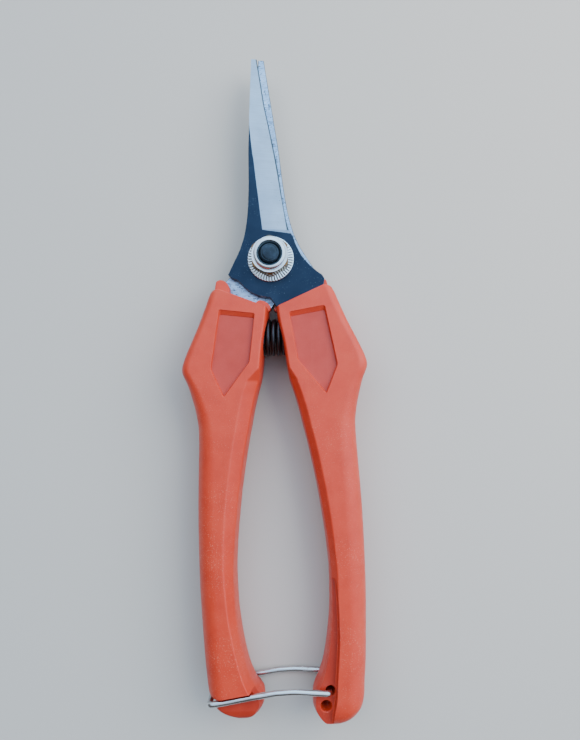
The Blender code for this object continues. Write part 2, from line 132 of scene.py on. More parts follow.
def booleans(me, steps):
    """The mesh after a row of exact booleans, all in millimetres."""
    base = bpy.data.objects.new("base", me)
    coll.objects.link(base)
    tools = []
    for tool, op in steps:
        t = bpy.data.objects.new("tool", tool)
        coll.objects.link(t)
        mod = base.modifiers.new("b", 'BOOLEAN')
        mod.operation = op
        mod.object = t
        mod.solver = 'EXACT'
        tools.append(t)
    bpy.context.view_layer.update()
    deps = bpy.context.evaluated_depsgraph_get()
    out = bpy.data.meshes.new_from_object(base.evaluated_get(deps))
    for o in tools + [base]:
        bpy.data.objects.remove(o, do_unlink=True)
    bm = bmesh.new()
    bm.from_mesh(out)
    bmesh.ops.remove_doubles(bm, verts=bm.verts, dist=2e-4)
    bmesh.ops.dissolve_degenerate(bm, edges=bm.edges, dist=1e-4)
    bpy.data.meshes.remove(out)
    return mesh_of(bm)


def piece(name, me, body, nodes, mats, flip=False, sharp=30.0,
          weighted=True, body_b=None):
    if flip:
        me.transform(Matrix.Rotation(math.pi, 4, 'Y'))
    me.transform(Matrix.Translation(PIVOT) @ Matrix.Scale(MM, 4))
    me.materials.clear()
    for mat in mats:
        me.materials.append(mat)
    me.name = name
    me.shade_smooth()
    me.set_sharp_from_angle(angle=math.radians(sharp))
    ob = bpy.data.objects.new(name, me)
    coll.objects.link(ob)
    if weighted:
        wn = ob.modifiers.new("normals", 'WEIGHTED_NORMAL')
        wn.keep_sharp = True
        wn.weight = 60
    if body_b is None:
        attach(ob, body)
    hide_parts(*nodes)
    return ob


def turn2(points, degrees):
    c, s = math.cos(math.radians(degrees)), math.sin(math.radians(degrees))
    return [(x * c - y * s, x * s + y * c) for x, y in points]


def arc2(radius, a0, a1, n):
    return [(radius * math.cos(math.radians(a0 + (a1 - a0) * i / n)),
             radius * math.sin(math.radians(a0 + (a1 - a0) * i / n)))
            for i in range(n + 1)]


def grow(points, d):
    """Outline moved outwards by d at every corner (mitred)."""
    area = sum(a[0] * b[1] - b[0] * a[1]
               for a, b in zip(points, points[1:] + points[:1]))
    sign = 1.0 if area > 0 else -1.0
    out = []
    n = len(points)
    for i in range(n):
        p0, p1, p2 = (Vector(points[i - 1]), Vector(points[i]),
                      Vector(points[(i + 1) % n]))
        e0, e1 = (p1 - p0).normalized(), (p2 - p1).normalized()
        n0 = Vector((e0.y, -e0.x)) * sign
        n1 = Vector((e1.y, -e1.x)) * sign
        mid = (n0 + n1).normalized()
        out.append(tuple(p1 + mid * d / max(0.5, mid.dot(n0))))
    return out


def chaikin(points, times=2):
    for _ in range(times):
        out = []
        for a, b in zip(points, points[1:] + points[:1]):
            out.append((a[0] * 0.75 + b[0] * 0.25, a[1] * 0.75 + b[1] * 0.25))
            out.append((a[0] * 0.25 + b[0] * 0.75, a[1] * 0.25 + b[1] * 0.75))
        points = out
    return points


def rounded(points, radius, n=4):
    """Each corner replaced by an arc-like run of n + 1 points."""
    out = []
    m_ = len(points)
    for i in range(m_):
        p0, p1, p2 = (Vector(points[i - 1]), Vector(points[i]),
                      Vector(points[(i + 1) % m_]))
        d0, d1 = p0 - p1, p2 - p1
        back = min(radius, d0.length * 0.45, d1.length * 0.45)
        a, b = p1 + d0.normalized() * back, p1 + d1.normalized() * back
        for k in range(n + 1):
            t = k / n
            out.append(tuple(a * (1 - t) ** 2 + p1 * 2 * t * (1 - t)
                             + b * t * t))
    return out


def stack(levels):
    """Solid through outlines of equal count at given heights."""
    return loft([[(x, y, z) for x, y in pts] for pts, z in levels])


def pad(outline, z0, z1, r, steps=3):
    """Plate with both rims rounded by r."""
    levels = []
    for k in range(steps + 1):
        a = math.pi / 2 * k / steps
        levels.append((grow(outline, -r * (1 - math.sin(a))),
                       z0 + r * (1 - math.cos(a))))
    for k in range(steps, -1, -1):
        a = math.pi / 2 * k / steps
        levels.append((grow(outline, -r * (1 - math.sin(a))),
                       z1 - r * (1 - math.cos(a))))
    return stack(levels)


def pchip(t, y, tt):
    """Monotone cubic interpolation of the columns of y."""
    t, y, tt = np.asarray(t, float), np.asarray(y, float), np.asarray(tt)
    h = np.diff(t)
    d = np.diff(y, axis=0) / h[:, None]
    mm = np.zeros_like(y)
    for j in range(y.shape[1]):
        for i in range(1, len(t) - 1):
            if d[i - 1, j] * d[i, j] > 0:
                w1, w2 = 2 * h[i] + h[i - 1], h[i] + 2 * h[i - 1]
                mm[i, j] = (w1 + w2) / (w1 / d[i - 1, j] + w2 / d[i, j])
        mm[0, j], mm[-1, j] = d[0, j], d[-1, j]
    k = np.clip(np.searchsorted(t, tt) - 1, 0, len(t) - 2)
    s = ((tt - t[k]) / h[k])[:, None]
    return ((2 * s ** 3 - 3 * s ** 2 + 1) * y[k]
            + (s ** 3 - 2 * s ** 2 + s) * h[k][:, None] * mm[k]
            + (-2 * s ** 3 + 3 * s ** 2) * y[k + 1]
            + (s ** 3 - s ** 2) * h[k][:, None] * mm[k + 1])


def smooth_path(points, step):
    """Monotone cubic through the points of a line, by its length."""
    p = np.array(points, float)
    t = np.concatenate([[0], np.cumsum(np.linalg.norm(np.diff(p, axis=0),
                                                      axis=1))])
    tt = np.linspace(0, t[-1], max(2, int(t[-1] / step) + 1))
    return [tuple(q) for q in pchip(t, p, tt)]


# ---- shader helpers ---------------------------------------------------------
class Mat:
    """Small wrapper that keeps the node code readable."""

    def __init__(self, name, **values):
        self.m = bpy.data.materials.new(name)
        self.m.use_nodes = True
        self.t = self.m.node_tree
        self.b = self.t.nodes["Principled BSDF"]
        for k, v in values.items():
            self.b.inputs[k.replace("_", " ")].default_value = v
        self.co = self.t.nodes.new("ShaderNodeTexCoord").outputs["Object"]

    def node(self, kind, **attrs):
        n = self.t.nodes.new(kind)
        for k, v in attrs.items():
            setattr(n, k, v)
        return n

    def link(self, a, b):
        self.t.links.new(a, b)

    def mapped(self, scale=(1, 1, 1), rot=(0, 0, 0)):
        n = self.node("ShaderNodeMapping")
        n.inputs["Scale"].default_value = scale
        n.inputs["Rotation"].default_value = rot
        self.link(self.co, n.inputs["Vector"])
        return n.outputs[0]

    def noise(self, scale, detail=2.0, rough=0.5, co=None, dist=0.0):
        n = self.node("ShaderNodeTexNoise")
        n.inputs["Scale"].default_value = scale
        n.inputs["Detail"].default_value = detail
        n.inputs["Roughness"].default_value = rough
        n.inputs["Distortion"].default_value = dist
        self.link(co or self.co, n.inputs["Vector"])
        return n.outputs["Fac"]

    def ramp(self, fac, stops):
        n = self.node("ShaderNodeValToRGB")
        e = n.color_ramp.elements
        while len(e) < len(stops):
            e.new(0.5)
        for el, (pos, col) in zip(e, stops):
            el.position = pos
            el.color = (*col, 1.0) if len(col) == 3 else col
        self.link(fac, n.inputs[0])
        return n.outputs[0]

    def grey(self, fac, p0, p1, v0=0.0, v1=1.0):
        n = self.node("ShaderNodeMapRange")
        n.inputs["From Min"].default_value = p0
        n.inputs["From Max"].default_value = p1
        n.inputs["To Min"].default_value = v0
        n.inputs["To Max"].default_value = v1
        self.link(fac, n.inputs["Value"])
        return n.outputs[0]

    def math(self, op, a, b):
        n = self.node("ShaderNodeMath", operation=op)
        for s, v in ((0, a), (1, b)):
            if isinstance(v, (int, float)):
                n.inputs[s].default_value = v
            else:
                self.link(v, n.inputs[s])
        return n.outputs[0]

    def mix(self, fac, a, b, mode='MIX'):
        n = self.node("ShaderNodeMix", data_type='RGBA', blend_type=mode)
        for s, v in ((0, fac), (6, a), (7, b)):
            if isinstance(v, (int, float)):
                n.inputs[s].default_value = v
            elif isinstance(v, tuple):
                n.inputs[s].default_value = (*v, 1.0)
            else:
                self.link(v, n.inputs[s])
        return n.outputs[2]

    def bump(self, height, distance, strength=1.0, normal=None):
        n = self.node("ShaderNodeBump")
        n.inputs["Strength"].default_value = strength
        n.inputs["Distance"].default_value = distance
        self.link(height, n.inputs["Height"])
        if normal:
            self.link(normal, n.inputs["Normal"])
        return n.outputs[0]

    def out(self, color=None, rough=None, normal=None, metal=None):
        for s, v in (("Base Color", color), ("Roughness", rough),
                     ("Normal", normal), ("Metallic", metal)):
            if v is not None:
                self.link(v, self.b.inputs[s])
        return self.m


def plastic(name, tone, seed, specks=1.0):
    """Satin moulded plastic: mottled colour, fine grain, small pale flecks."""
    k = Mat(name, IOR=1.5)
    k.b.inputs["Specular IOR Level"].default_value = 0.55
    place = k.co
    off = k.node("ShaderNodeVectorMath", operation='ADD')
    off.inputs[1].default_value = (seed, seed * 0.7, 0.0)
    k.link(k.co, off.inputs[0])
    k.co = off.outputs[0]
    r, g, b = tone
    mott = k.noise(190.0, 4.0, 0.6)
    col = k.ramp(mott, [(0.30, (r * 0.90, g * 0.82, b * 0.78)),
                        (0.52, (r, g, b)),
                        (0.74, (min(1, r * 1.04), g * 1.22, b * 1.30))])
    fine = k.noise(5200.0, 2.0, 0.6)
    col = k.mix(k.grey(fine, 0.44, 0.66, 0.0, 0.22), col,
                (r * 0.80, g * 0.58, b * 0.50))
    # small pale flecks, thickest along the grips
    sep = k.node("ShaderNodeSeparateXYZ")
    k.link(place, sep.inputs[0])
    low = k.grey(sep.outputs["Y"], 0.02, -0.05, 0.15, 1.0)
    speck = k.grey(k.noise(3900.0, 1.0, 0.5), 0.640, 0.700)
    patch = k.grey(k.noise(75.0, 2.0, 0.5), 0.40, 0.62, 0.25, 1.0)
    speck = k.math('MULTIPLY', k.math('MULTIPLY', speck, patch), low)
    col = k.mix(k.math('MULTIPLY', speck, 0.42 * specks), col,
                (0.80, 0.36, 0.26))
    # faint scuffs along the grip
    scuff = k.grey(k.noise(1.0, 2.0, 0.5,
                           co=k.mapped((1100.0, 34.0, 700.0),
                                       (0.0, 0.0, 0.10)), dist=0.4),
                   0.62, 0.74, 0.0, 0.16)
    col = k.mix(scuff, col, (min(1, r * 1.12), g * 1.8, b * 2.0))
    rough = k.grey(k.noise(420.0, 3.0, 0.6), 0.3, 0.7, 0.37, 0.49)
    grain = k.bump(k.noise(4600.0, 2.0, 0.6), 0.00003, 0.45)
    wave = k.bump(k.noise(210.0, 2.0, 0.5), 0.0002, 0.10, grain)
    return k.out(col, rough, wave)


def coated(name):
    """Blue-black coated blade steel with dust specks and fine grain."""
    k = Mat(name, Metallic=0.85)
    k.b.inputs["Specular IOR Level"].default_value = 0.4
    col = k.ramp(k.noise(150.0, 4.0, 0.6),
                 [(0.30, (0.014, 0.026, 0.050)), (0.52, (0.019, 0.035, 0.066)),
                  (0.75, (0.027, 0.047, 0.084))])
    speck = k.grey(k.noise(3000.0, 1.0, 0.5), 0.690, 0.740)
    speck = k.math('MULTIPLY', speck,
                   k.grey(k.noise(130.0, 2.0, 0.5), 0.40, 0.62))
    col = k.mix(k.math('MULTIPLY', speck, 0.75), col, (0.18, 0.26, 0.32))
    rub = k.grey(k.noise(1.0, 2.0, 0.6, co=k.mapped((300.0, 3000.0, 400.0),
                                                    (0, 0, 0.35))),
                 0.64, 0.80, 0.0, 0.35)
    col = k.mix(rub, col, (0.034, 0.066, 0.100))
    rough = k.grey(k.noise(600.0, 3.0, 0.6), 0.3, 0.7, 0.30, 0.46)
    nrm = k.bump(k.noise(3000.0, 3.0, 0.6), 0.00003, 0.40)
    return k.out(col, rough, nrm)


def worn_edge(name):
    """Rim of a coated blade: coating rubbed through in places."""
    k = Mat(name, Roughness=0.4)
    wear = k.grey(k.noise(1100.0, 4.0, 0.7), 0.52, 0.66)
    col = k.mix(wear, (0.014, 0.036, 0.063), (0.24, 0.33, 0.38))
    metal = k.grey(wear, 0.0, 1.0, 0.3, 0.9)
    nrm = k.bump(k.noise(1800.0, 3.0, 0.6), 0.00004, 0.5)
    return k.out(col, None, nrm, metal)


def ground_steel(name):
    """Ground bevel: grinding lines across the blade, faint blotches; the blue
    in its base tone is a painted sky reflection.
    """
    k = Mat(name, Metallic=0.92)
    col = k.ramp(k.noise(150.0, 3.0, 0.55),
                 [(0.30, (0.35, 0.44, 0.56)), (0.50, (0.40, 0.50, 0.63)),
                  (0.75, (0.45, 0.55, 0.68))])
    lines = k.noise(1.0, 3.0, 0.65, co=k.mapped((70.0, 5200.0, 300.0),
                                                (0, 0, -0.06)))
    col = k.mix(k.grey(lines, 0.42, 0.68, 0.0, 0.30), col,
                (0.30, 0.35, 0.40))
    pit = k.grey(k.noise(1500.0, 1.0, 0.5), 0.755, 0.79, 0.0, 0.8)
    col = k.mix(pit, col, (0.14, 0.17, 0.20))
    rough = k.grey(lines, 0.3, 0.7, 0.33, 0.47)
    nrm = k.bump(lines, 0.00002, 0.35)
    return k.out(col, rough, nrm)


def bare_steel(name):
    """Mating face: bright, scratched by the other blade; the strong blue in its
    base tone is a painted sky reflection.
    """
    k = Mat(name, Metallic=0.95)
    col = k.ramp(k.noise(240.0, 4.0, 0.65),
                 [(0.30, (0.34, 0.48, 0.68)), (0.50, (0.44, 0.62, 0.86)),
                  (0.72, (0.56, 0.72, 0.94))])
    wear = None
    for i, (a, sx, sy) in enumerate(((0.5, 420.0, 5200.0),
                                     (-0.35, 380.0, 6200.0),
                                     (1.05, 300.0, 4300.0))):
        s = k.grey(k.noise(1.0, 2.0, 0.6,
                           co=k.mapped((sx, sy, 400.0), (0, 0, a)),
                           dist=0.6), 0.60, 0.70)
        wear = s if wear is None else k.math('MAXIMUM', wear, s)
    col = k.mix(k.math('MULTIPLY', wear, 0.85), col, (0.08, 0.13, 0.21))
    nick = k.grey(k.noise(1300.0, 2.0, 0.6), 0.59, 0.65, 0.0, 0.75)
    col = k.mix(nick, col, (0.06, 0.10, 0.17))
    rough = k.grey(k.noise(600.0, 2.0, 0.5), 0.3, 0.7, 0.26, 0.44)
    nrm = k.bump(wear, 0.00004, 0.5)
    return k.out(col, rough, nrm)


def plated(name, tone, rough0, rough1):
    """Bright plating with soft stains and tool marks; for the nut flanks the
    given tone is a painted reflection, for the washer grooves painted shade.
    """
    k = Mat(name, Metallic=1.0)
    r, g, b = tone
    col = k.ramp(k.noise(300.0, 3.0, 0.6),
                 [(0.32, (r * 0.86, g * 0.86, b * 0.84)), (0.55, (r, g, b)),
                  (0.80, (min(1, r * 1.06), min(1, g * 1.06),
                          min(1, b * 1.08)))])
    stain = k.grey(k.noise(900.0, 2.0, 0.6), 0.60, 0.78, 0.0, 0.28)
    col = k.mix(stain, col, (r * 0.78, g * 0.68, b * 0.50))
    rough = k.grey(k.noise(700.0, 3.0, 0.6), 0.3, 0.7, rough0, rough1)
    nrm = k.bump(k.noise(2800.0, 2.0, 0.6), 0.00002, 0.30)
    return k.out(col, rough, nrm)


def dark_metal(name, tone, metal, rough0, rough1, mark):
    k = Mat(name, Metallic=metal)
    r, g, b = tone
    col = k.ramp(k.noise(420.0, 3.0, 0.6),
                 [(0.32, (r * 0.7, g * 0.7, b * 0.7)), (0.52, (r, g, b)),
                  (0.76, (r * 1.7, g * 1.7, b * 1.7))])
    sp = k.grey(k.noise(1500.0, 2.0, 0.6), 0.66, 0.74, 0.0, 0.6)
    col = k.mix(sp, col, mark)
    rough = k.grey(k.noise(800.0, 2.0, 0.6), 0.3, 0.7, rough0, rough1)
    nrm = k.bump(k.noise(2600.0, 2.0, 0.6), 0.00003, 0.35)
    return k.out(col, rough, nrm)


def drawn_wire(name, tone, metal, rough0, rough1, axis):
    """Wire with draw marks along its run and small worn spots."""
    k = Mat(name, Metallic=metal)
    r, g, b = tone
    scale = (60.0, 2600.0, 2600.0) if axis == 'X' else (2200.0, 2200.0, 2200.0)
    lines = k.noise(1.0, 2.0, 0.6, co=k.mapped(scale))
    col = k.ramp(lines, [(0.32, (r * 0.72, g * 0.72, b * 0.72)),
                         (0.55, (r, g, b)),
                         (0.80, (min(1, r * 1.25), min(1, g * 1.25),
                                 min(1, b * 1.25)))])
    spot = k.grey(k.noise(900.0, 2.0, 0.6), 0.64, 0.74, 0.0, 0.45)
    col = k.mix(spot, col, (r * 0.45, g * 0.40, b * 0.36))
    rough = k.grey(lines, 0.3, 0.7, rough0, rough1)
    nrm = k.bump(lines, 0.00002, 0.35)
    return k.out(col, rough, nrm)


ORANGE = (0.560, 0.044, 0.017)
m_right = plastic("moulded_orange_right", ORANGE, 0.0)
m_left = plastic("moulded_orange_left", ORANGE, 0.31)
# darker copy of the orange: painted shade for the latch recess floor and the
# hook end below the shoulder
m_painted_shade = plastic("moulded_orange_painted_shade", (0.40, 0.027, 0.010), 0.83, 0.3)
m_panel = plastic("moulded_orange_panel", (0.43, 0.038, 0.024), 0.57, 0.4)
m_coat = coated("blade_coating")
m_edge = worn_edge("blade_rim")
m_ground_painted_sky = ground_steel("ground_bevel_painted_sky_tint")
m_bare_painted_sky = bare_steel("mating_face_painted_sky_tint")
# dark tone painted as a shade line along the cutting edge's narrow facet
m_edge_painted_shade = dark_metal("cutting_edge_painted_shade", (0.060, 0.078, 0.092), 0.9, 0.30, 0.42,
                     (0.20, 0.24, 0.27))
m_zinc = plated("nut_zinc", (0.84, 0.92, 0.97), 0.12, 0.24)
# brown tone painted as the reflection in the nut's flanks and chamfer rim, and
# as shade in the collar's root
m_nut_painted_light = plated("nut_painted_reflection_and_shade", (0.34, 0.21, 0.09), 0.14, 0.26)
m_washer = plated("washer_zinc", (0.84, 0.94, 1.0), 0.14, 0.26)
# darker tone painted as shade in the washer's rib grooves
m_groove_painted_shade = plated("washer_groove_painted_shade", (0.30, 0.33, 0.35), 0.16, 0.28)
m_black = dark_metal("bolt_oxide", (0.018, 0.032, 0.050), 0.60, 0.20, 0.34,
                     (0.10, 0.14, 0.18))
m_nylon = dark_metal("insert_nylon", (0.010, 0.026, 0.042), 0.0, 0.32, 0.48,
                     (0.05, 0.08, 0.10))
m_spring = drawn_wire("spring_wire", (0.060, 0.062, 0.070), 0.92, 0.24, 0.40,
                      'N')
m_latch = drawn_wire("latch_wire_bright", (0.66, 0.68, 0.70), 1.0, 0.13, 0.28,
                     'X')


# ---- handles ----------------------------------------------------------------
FIT = 0.10
DRAFT = 0.45
HALF = 7.4
HEAD = [  # inner point, outer point, rounding, bevel, wall, half
    ((1.15, -14.70), (15.2, -8.75), 1.2, 0.40, 6.95, 7.4),
    ((1.15, -15.00), (16.6, -9.40), 1.8, 0.40, 6.95, 7.4),
    ((1.18, -15.50), (17.6, -11.00), 2.2, 0.40, 6.95, 7.4),
    ((1.25, -16.40), (18.5, -13.30), 2.4, 0.40, 6.95, 7.4),
    ((1.40, -17.80), (19.65, -16.20), 2.4, 0.40, 6.95, 7.4),
    ((1.80, -20.10), (21.1, -19.70), 2.4, 0.40, 6.95, 7.4),
]
GRIP = [  # y, inner x, outer x, rounding, bevel, wall, half
    (-24.7, 2.65, 23.4, 2.4, 0.40, 6.95, 7.4),
    (-29.3, 3.25, 25.3, 2.5, 0.40, 6.95, 7.4),
    (-31.0, 3.45, 25.7, 2.6, 0.40, 6.95, 7.4),
    (-31.7, 3.55, 25.68, 2.7, 0.45, 6.90, 7.4),
    (-33.2, 3.75, 25.2, 2.8, 1.7, 5.9, 7.4),
    (-34.8, 4.05, 24.5, 3.0, 3.0, 4.7, 7.4),
    (-38.5, 5.15, 23.4, 3.6, 3.3, 4.6, 7.4),
    (-43.0, 6.30, 22.4, 4.2, 3.25, 4.6, 7.4),
    (-47.5, 7.25, 21.85, 4.6, 3.2, 4.6, 7.4),
    (-52.5, 8.35, 21.95, 5.0, 3.15, 4.6, 7.4),
    (-58.7, 9.50, 22.2, 5.0, 3.05, 4.6, 7.4),
    (-65.0, 10.55, 22.45, 5.0, 2.95, 4.6, 7.4),
    (-72.0, 11.50, 22.65, 5.0, 2.8, 4.6, 7.4),
    (-80.0, 12.35, 22.7, 5.0, 2.5, 4.6, 7.4),
    (-88.0, 12.80, 22.65, 5.0, 2.1, 4.5, 7.4),
    (-96.0, 12.60, 22.4, 5.0, 1.7, 4.4, 7.4),
    (-102.0, 12.00, 22.1, 5.0, 1.4, 4.2, 7.4),
    (-108.0, 11.00, 21.8, 5.0, 1.2, 4.0, 7.4),
    (-113.0, 9.75, 21.4, 5.0, 1.1, 3.8, 7.4),
    (-116.6, 8.25, 21.0, 4.8, 1.1, 3.7, 7.4),
]
LATCH_END = [
    (-118.2, 7.45, 20.9, 4.7, 1.1, 3.7, 7.4),
    (-119.6, 7.00, 20.7, 4.6, 1.1, 3.7, 7.4),
    (-121.6, 6.85, 20.1, 4.2, 1.1, 3.7, 7.3),
    (-123.4, 7.35, 18.9, 3.8, 1.1, 3.6, 6.9),
    (-124.7, 8.10, 17.4, 3.2, 1.0, 3.4, 6.2),
    (-125.6, 8.85, 15.5, 2.4, 0.9, 3.1, 5.3),
    (-126.1, 9.55, 13.4, 1.5, 0.7, 2.8, 4.4),
    (-126.4, 10.2, 11.7, 0.6, 0.4, 2.5, 3.6),
]
HOOK_END = [
    (-117.8, 7.60, 20.6, 4.4, 1.1, 3.7, 7.4),
    (-118.35, 7.05, 19.8, 4.0, 1.1, 3.7, 7.4),
    (-118.7, 6.60, 19.2, 3.4, 1.0, 3.7, 6.4),
    (-119.5, 6.15, 19.05, 2.2, 0.9, 3.9, 5.5),
    (-120.5, 6.05, 19.15, 1.9, 0.9, 3.9, 5.4),
    (-121.2, 6.20, 19.05, 1.8, 0.9, 3.9, 5.3),
    (-121.8, 6.50, 18.6, 1.7, 0.9, 3.8, 5.2),
    (-122.4, 6.90, 17.85, 1.6, 0.9, 3.7, 5.1),
    (-123.0, 7.40, 16.8, 1.5, 0.8, 3.6, 4.95),
    (-123.6, 8.20, 15.3, 1.4, 0.7, 3.4, 4.7),
    (-124.1, 9.40, 13.6, 0.9, 0.6, 3.1, 4.3),
    (-124.3, 10.3, 12.6, 0.5, 0.4, 2.8, 4.0),
]
PANEL_TOP = [(4.8, -16.40), (14.55, -14.95), (17.35, -31.3), (14.0, -39.1),
             (6.7, -29.75)]
PANEL_FLOOR = [(4.98, -17.42), (14.50, -16.02), (17.23, -31.25),
               (14.0, -38.75), (6.85, -29.70)]
FRONT_LOBE = [(16.0, -6.3), (15.3, -5.7), (14.4, -5.5), (13.2, -6.0),
              (12.4, -6.9), (11.9, -8.1), (12.0, -9.6), (12.9, -12.6),
              (16.6, -12.6)]
STOP_TAB = [(4.6, -13.2), (4.0, -12.3), (3.1, -11.9), (1.8, -12.0),
            (0.5, -12.5), (-0.2, -13.3), (-0.95, -14.4), (2.4, -15.6),
            (5.2, -15.6)]
LEFT_TAB = [(4.9, -13.2), (4.6, -12.2), (4.0, -11.8), (3.1, -11.75),
            (1.8, -12.3), (0.95, -13.1), (0.3, -14.2), (1.6, -15.9),
            (5.2, -15.9)]
RECESS_WALL = [(12.4, -88.0), (13.6, -88.15), (14.3, -88.7), (14.6, -90.9),
               (14.65, -96.0), (14.6, -102.4), (14.2, -108.0), (13.6, -113.9),
               (13.2, -118.6), (12.5, -122.2), (12.15, -125.0),
               (12.05, -130.0)]
SHOULDER = [(3.0, -115.9), (9.36, -116.86), (19.96, -118.46), (24.0, -119.07),
            (24.0, -130.0), (3.0, -130.0)]
SPRING_Y = -22.3
LATCH = (11.4, -117.5)
LATCH_HOLE = (11.7, -117.4, 1.3)
CORD_HOLE = (10.4, -121.3, 1.45)


def corner(p, c, n, d, k=3):
    """Corner c between p and n, softened over the distance d."""
    p, c, n = np.array(p), np.array(c), np.array(n)
    lp, ln = np.linalg.norm(p - c), np.linalg.norm(n - c)
    a = c + (p - c) / lp * min(d, lp * 0.45)
    b = c + (n - c) / ln * min(d, ln * 0.45)
    return [tuple(a * (1 - t) ** 2 + c * 2 * t * (1 - t) + b * t * t)
            for t in np.linspace(0, 1, k)]


def section(row, inset=0.0):
    """Ring of one rib: flat top, bevelled and drafted inside, round outside."""
    ix, iy, ox, oy, rnd, half, bevel, wall = row
    a, b = np.array([ix, iy]), np.array([ox, oy])
    length = np.linalg.norm(b - a)
    u = (b - a) / length
    s0, s1, h = inset, length - inset, half - inset
    rnd = min(rnd, (s1 - s0) * 0.6, h * 0.9)
    w = min(wall, h - 0.25)
    draft = min(DRAFT, (s1 - s0) * 0.2)
    bev = min(bevel, (s1 - s0) * 0.3)
    top = [(s0, 0.0)]
    for f in (0.45, 0.8):
        top.append((s0 + draft * f ** 3, w * f))
    pw, pb = (s0 + draft, w), (s0 + draft + bev, h)
    top += corner(top[-1], pw, pb, 0.34, 4)
    top.append(((pw[0] + pb[0]) / 2, (pw[1] + pb[1]) / 2))
    top += corner(pw, pb, (s1 - rnd, h), min(0.42, 0.18 + bev * 0.12), 5)
    x0 = pb[0] + 0.5
    x1 = max(s1 - rnd, x0 + 0.05)
    for f in (0.33, 0.66):
        top.append((x0 + (x1 - x0) * f, h))
    rim = s1 - 0.05
    for i in range(13):
        t = math.radians(90.0 * i / 12)
        top.append((rim - rnd + rnd * math.sin(t), h - rnd + rnd * math.cos(t)))
    low = h - rnd
    top += [(rim, low * 0.45), (rim, min(0.16, low * 0.3)),
            (s1, min(0.06, low * 0.1))]
    pts = top + [(s, -z) for s, z in reversed(top[1:])]
    return [(a[0] + u[0] * s, a[1] + u[1] * s, z) for s, z in pts]


def handle_mesh(end_rows, tang, tab, left):
    rows = [(a[0], a[1], b[0], b[1], rnd, half, bev, wall)
            for a, b, rnd, bev, wall, half in HEAD]
    rows += [(xi, y, xo, y, rnd, half, bev, wall)
             for y, xi, xo, rnd, bev, wall, half in GRIP + end_rows]
    arr = np.array(rows)
    if not left:               # the right handle's inner bevel is narrower
        ys = [-126.0, -108.0, -96.0, -80.0, -43.0, -36.0, -33.2, -31.0]
        k = np.interp(arr[:, 1], ys, [1.0, 1.0, 0.85, 0.62, 0.56, 0.50, 0.62,
                                      1.0])
        arr[:, 6] *= k
        arr[:, 7] = arr[:, 5] - (arr[:, 5] - arr[:, 7]) * (0.35 + 0.65 * k)
    step = np.maximum(np.hypot(np.diff(arr[:, 0]), np.diff(arr[:, 1])),
                      np.hypot(np.diff(arr[:, 2]), np.diff(arr[:, 3])))
    t = np.concatenate([[0], np.cumsum(step)])
    tt = []
    for i in range(len(t) - 1):
        y = arr[i, 1]
        size = 0.5 if (y > -36.0 or y < -117.0) else 1.1
        n = max(1, int(math.ceil((t[i + 1] - t[i]) / size)))
        tt += list(np.linspace(t[i], t[i + 1], n, endpoint=False))
    tt = np.array(tt + [t[-1]])
    cols = pchip(t, arr[:, :6], tt)
    lin = np.stack([np.interp(tt, t, arr[:, k]) for k in (6, 7)], axis=1)
    full = np.concatenate([cols, lin], axis=1)
    rings = [section(full[0], 0.38), section(full[0] * 0.85 + full[1] * 0.15,
                                             0.12)]
    rings += [section(r) for r in full[1:]]
    me = loft(rings)

    steps = [(pad(chaikin(tab, 2), -2.6, -0.25, 0.22), 'UNION'),
             (pad(chaikin(FRONT_LOBE, 2), -3.4, -0.25, 0.40), 'UNION')]
    slot = [p for p in grow(tang, FIT) if p[1] < -4.0]
    steps.append((stack([(slot, 0.1 - FIT), (slot, 2.3 + FIT)]),
                  'DIFFERENCE'))
    sock = turned([(0.0, 6.35), (5.2, 6.35), (5.55, 6.0), (5.55, -2.0),
                   (0.0, -2.0)], 72)
    sock.transform(Matrix.Translation((0, SPRING_Y, 0))
                   @ Matrix.Rotation(math.pi / 2, 4, 'Y'))
    steps.append((sock, 'DIFFERENCE'))
    top, low = rounded(PANEL_TOP, 0.55), rounded(PANEL_FLOOR, 0.45)
    for s in (1.0, -1.0):
        lv = [(grow(top, 0.30), HALF + 0.4), (grow(top, 0.15), HALF + 0.01),
              (grow(top, 0.05), HALF - 0.06), (top, HALF - 0.18),
              (low, HALF - 0.86), (grow(low, -0.05), HALF - 0.95),
              (grow(low, -0.18), HALF - 1.0)]
        steps.append((stack([(p, z * s) for p, z in lv]), 'DIFFERENCE'))
    if left:
        sh = rounded(SHOULDER, 0.5)
        for s in (1.0, -1.0):
            lv = [(grow(sh, -0.25), 5.2), (grow(sh, -0.07), 5.28),
                  (sh, 5.45), (sh, 7.2), (grow(sh, 0.12), 7.42),
                  (grow(sh, 0.3), 9.0)]
            steps.append((stack([(p, z * s) for p, z in lv]), 'DIFFERENCE'))
    else:
        wall = smooth_path(RECESS_WALL, 0.8)
        poly = wall + [(2.0, -130.0), (2.0, -100.0), (9.0, -88.0)]
        for s in (1.0, -1.0):
            lv = [(grow(poly, -0.45), 5.0), (grow(poly, -0.13), 5.13),
                  (poly, 5.45), (grow(poly, 0.05), 7.15),
                  (grow(poly, 0.22), 7.45), (grow(poly, 0.4), 9.0)]
            steps.append((stack([(p, z * s) for p, z in lv]), 'DIFFERENCE'))
        for cx, cy, r in (LATCH_HOLE, CORD_HOLE):
            hole = turned([(0.0, 9.0), (r + 0.22, 9.0), (r + 0.22, 5.02),
                           (r, 4.78), (r, -4.78), (r + 0.22, -5.02),
                           (r + 0.22, -9.0), (0.0, -9.0)], 48)
            hole.transform(Matrix.Translation((cx, cy, 0)))
            steps.append((hole, 'DIFFERENCE'))
    return booleans(me, steps)


